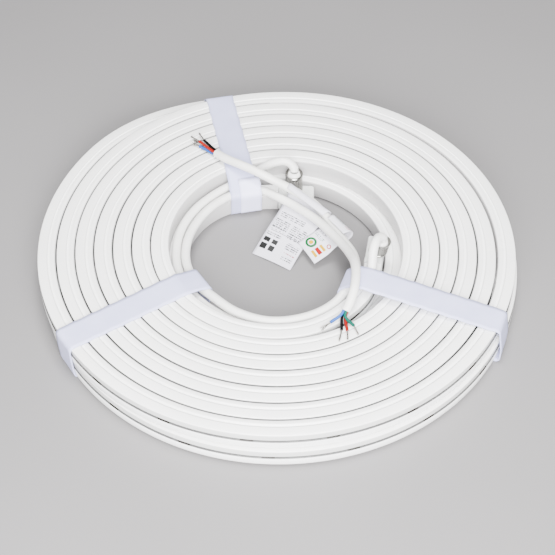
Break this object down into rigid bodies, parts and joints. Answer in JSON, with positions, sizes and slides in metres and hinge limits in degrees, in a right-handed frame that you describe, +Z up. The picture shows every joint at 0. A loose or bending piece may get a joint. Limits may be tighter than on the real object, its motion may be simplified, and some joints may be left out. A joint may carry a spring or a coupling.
{
  "type": "waterproof led strip",
  "caption": "Coil of white silicone-cased LED strip, wound flat in layers and held by straps, with an end cap and a lead with bare cores at each end.",
  "frame": {"origin": "on the coil's axis, on the surface that the coil lies on", "axes": "+Z up along the coil's axis; -Y towards the viewer of the picture; +X to the viewer's right"},
  "size_m": [0.3084, 0.3132, 0.0462],
  "materials": {
    "strip": "satin",
    "end_cap": "satin",
    "ferrule": "bright",
    "lead_jacket": "satin",
    "strap": "matte",
    "label": "matte",
    "core_black": "satin",
    "core_red": "satin",
    "core_blue": "satin",
    "core_green": "satin",
    "conductor": "bright"
  },
  "bodies": {
    "root": {"strip_coil": "strip", "end_cap_lower": "end_cap", "ferrule_lower": "ferrule", "boot_lower": "lead_jacket", "lead_lower": "lead_jacket", "lead_lower_core_black": "core_black", "lead_lower_wire_black": "conductor", "lead_lower_core_red": "core_red", "lead_lower_wire_red": "conductor", "lead_lower_core_blue": "core_blue", "lead_lower_wire_blue": "conductor", "lead_lower_core_green": "core_green", "lead_lower_wire_green": "conductor", "end_cap_upper": "end_cap", "ferrule_upper": "ferrule", "boot_upper": "lead_jacket", "lead_upper": "lead_jacket", "lead_upper_core_black": "core_black", "lead_upper_wire_black": "conductor", "lead_upper_core_red": "core_red", "lead_upper_wire_red": "conductor", "lead_upper_core_blue": "core_blue", "lead_upper_wire_blue": "conductor", "lead_upper_core_green": "core_green", "lead_upper_wire_green": "conductor", "strap_back": "strap", "strap_left": "strap", "strap_right": "strap", "label_wide": "label", "label_small": "label"}
  },
  "joints": []
}
